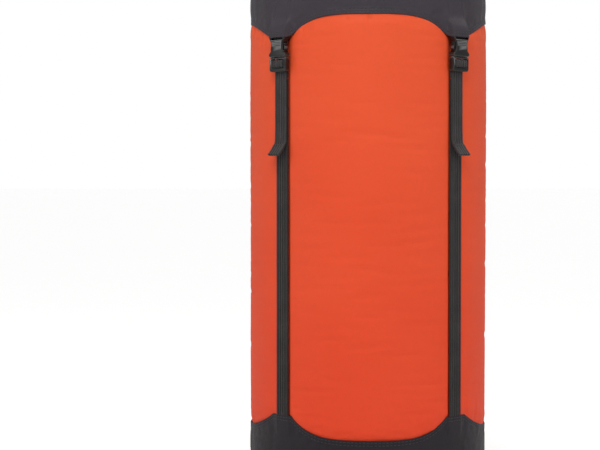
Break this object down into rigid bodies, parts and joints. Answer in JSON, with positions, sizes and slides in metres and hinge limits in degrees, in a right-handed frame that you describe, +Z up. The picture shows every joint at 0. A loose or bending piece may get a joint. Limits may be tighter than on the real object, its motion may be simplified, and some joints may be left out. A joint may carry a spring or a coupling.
{
  "type": "compression sack",
  "caption": "Stuffed fabric compression sack with scalloped end bands, a domed top with a drawn mouth, and webbing straps on side-release buckles that pull its ends together.",
  "frame": {"origin": "middle of the base panel's underside", "axes": "+Z up along the sack to its mouth, -Y to the front; the four straps stand 43.6 degrees each side of the front and of the back"},
  "size_m": [0.218, 0.218, 0.4761],
  "materials": {
    "orange_fabric": "satin",
    "grey_fabric": "matte",
    "webbing": "matte",
    "buckle_plastic": "satin",
    "eyelet_steel": "satin"
  },
  "bodies": {
    "lower": {"base_panel": "grey_fabric", "base_piping": "grey_fabric", "lower_band": "grey_fabric", "body_lower": "orange_fabric", "strap_web_front_left": "webbing", "strap_web_front_right": "webbing", "strap_web_back_right": "webbing", "strap_web_back_left": "webbing"},
    "middle": {"body_middle": "orange_fabric"},
    "upper": {"body_upper": "orange_fabric", "upper_band": "grey_fabric", "top_panel": "orange_fabric", "top_piping": "grey_fabric", "mouth_hem": "orange_fabric", "throat_baffle": "grey_fabric", "cord_eyelet_left": "eyelet_steel", "cord_eyelet_right": "eyelet_steel", "upper_loop_front_left": "webbing", "upper_loop_front_right": "webbing", "upper_loop_back_right": "webbing", "upper_loop_back_left": "webbing", "buckle_female_front_left": "buckle_plastic", "buckle_female_front_right": "buckle_plastic", "buckle_female_back_right": "buckle_plastic", "buckle_female_back_left": "buckle_plastic"},
    "latch_front_left": {"buckle_male_front_left": "buckle_plastic", "strap_tail_front_left": "webbing"},
    "latch_front_right": {"buckle_male_front_right": "buckle_plastic", "strap_tail_front_right": "webbing"},
    "latch_back_right": {"buckle_male_back_right": "buckle_plastic", "strap_tail_back_right": "webbing"},
    "latch_back_left": {"buckle_male_back_left": "buckle_plastic", "strap_tail_back_left": "webbing"},
    "prong_left_front_left": {"arm_left_front_left": "buckle_plastic"},
    "prong_right_front_left": {"arm_right_front_left": "buckle_plastic"},
    "prong_left_front_right": {"arm_left_front_right": "buckle_plastic"},
    "prong_right_front_right": {"arm_right_front_right": "buckle_plastic"},
    "prong_left_back_right": {"arm_left_back_right": "buckle_plastic"},
    "prong_right_back_right": {"arm_right_back_right": "buckle_plastic"},
    "prong_left_back_left": {"arm_left_back_left": "buckle_plastic"},
    "prong_right_back_left": {"arm_right_back_left": "buckle_plastic"}
  },
  "joints": [
    {"name": "compress", "type": "slide", "parent": "lower", "child": "upper", "axis": [0, 0, -1], "range_m": [0, 0.27], "stiffness_N_per_m": 300, "springref_m": -0.05, "deforming": ["body_lower", "body_middle", "body_upper", "strap_web_front_left", "strap_web_front_right", "strap_web_back_right", "strap_web_back_left"]},
    {"name": "middle_follows", "type": "slide", "parent": "lower", "child": "middle", "axis": [0, 0, -1], "range_m": [0, 0.135]},
    {"name": "release_front_left", "type": "slide", "parent": "upper", "child": "latch_front_left", "axis": [0, 0, -1], "range_m": [0, 0.014], "deforming": ["arm_left_front_left", "arm_right_front_left"]},
    {"name": "release_front_right", "type": "slide", "parent": "upper", "child": "latch_front_right", "axis": [0, 0, -1], "range_m": [0, 0.014], "deforming": ["arm_left_front_right", "arm_right_front_right"]},
    {"name": "release_back_right", "type": "slide", "parent": "upper", "child": "latch_back_right", "axis": [0, 0, -1], "range_m": [0, 0.014], "deforming": ["arm_left_back_right", "arm_right_back_right"]},
    {"name": "release_back_left", "type": "slide", "parent": "upper", "child": "latch_back_left", "axis": [0, 0, -1], "range_m": [0, 0.014], "deforming": ["arm_left_back_left", "arm_right_back_left"]},
    {"name": "squeeze_left_front_left", "type": "hinge", "parent": "latch_front_left", "child": "prong_left_front_left", "pos_m": [-0.08299, -0.07715, 0.3767], "axis": [0.6896, 0.7242, 0], "range_deg": [0, 12.5], "stiffness_Nm_per_rad": 0.05},
    {"name": "squeeze_right_front_left", "type": "hinge", "parent": "latch_front_left", "child": "prong_right_front_left", "pos_m": [-0.073, -0.08666, 0.3767], "axis": [-0.6896, -0.7242, 0], "range_deg": [0, 12.5], "stiffness_Nm_per_rad": 0.05},
    {"name": "squeeze_left_front_right", "type": "hinge", "parent": "latch_front_right", "child": "prong_left_front_right", "pos_m": [0.073, -0.08666, 0.3767], "axis": [-0.6896, 0.7242, 0], "range_deg": [0, 12.5], "stiffness_Nm_per_rad": 0.05},
    {"name": "squeeze_right_front_right", "type": "hinge", "parent": "latch_front_right", "child": "prong_right_front_right", "pos_m": [0.08299, -0.07715, 0.3767], "axis": [0.6896, -0.7242, 0], "range_deg": [0, 12.5], "stiffness_Nm_per_rad": 0.05},
    {"name": "squeeze_left_back_right", "type": "hinge", "parent": "latch_back_right", "child": "prong_left_back_right", "pos_m": [0.08299, 0.07715, 0.3767], "axis": [-0.6896, -0.7242, 0], "range_deg": [0, 12.5], "stiffness_Nm_per_rad": 0.05},
    {"name": "squeeze_right_back_right", "type": "hinge", "parent": "latch_back_right", "child": "prong_right_back_right", "pos_m": [0.073, 0.08666, 0.3767], "axis": [0.6896, 0.7242, 0], "range_deg": [0, 12.5], "stiffness_Nm_per_rad": 0.05},
    {"name": "squeeze_left_back_left", "type": "hinge", "parent": "latch_back_left", "child": "prong_left_back_left", "pos_m": [-0.073, 0.08666, 0.3767], "axis": [0.6896, -0.7242, 0], "range_deg": [0, 12.5], "stiffness_Nm_per_rad": 0.05},
    {"name": "squeeze_right_back_left", "type": "hinge", "parent": "latch_back_left", "child": "prong_right_back_left", "pos_m": [-0.08299, 0.07715, 0.3767], "axis": [-0.6896, 0.7242, 0], "range_deg": [0, 12.5], "stiffness_Nm_per_rad": 0.05}
  ],
  "couplings": [
    {"joint": "middle_follows", "follows": "compress", "ratio": 0.5}
  ]
}
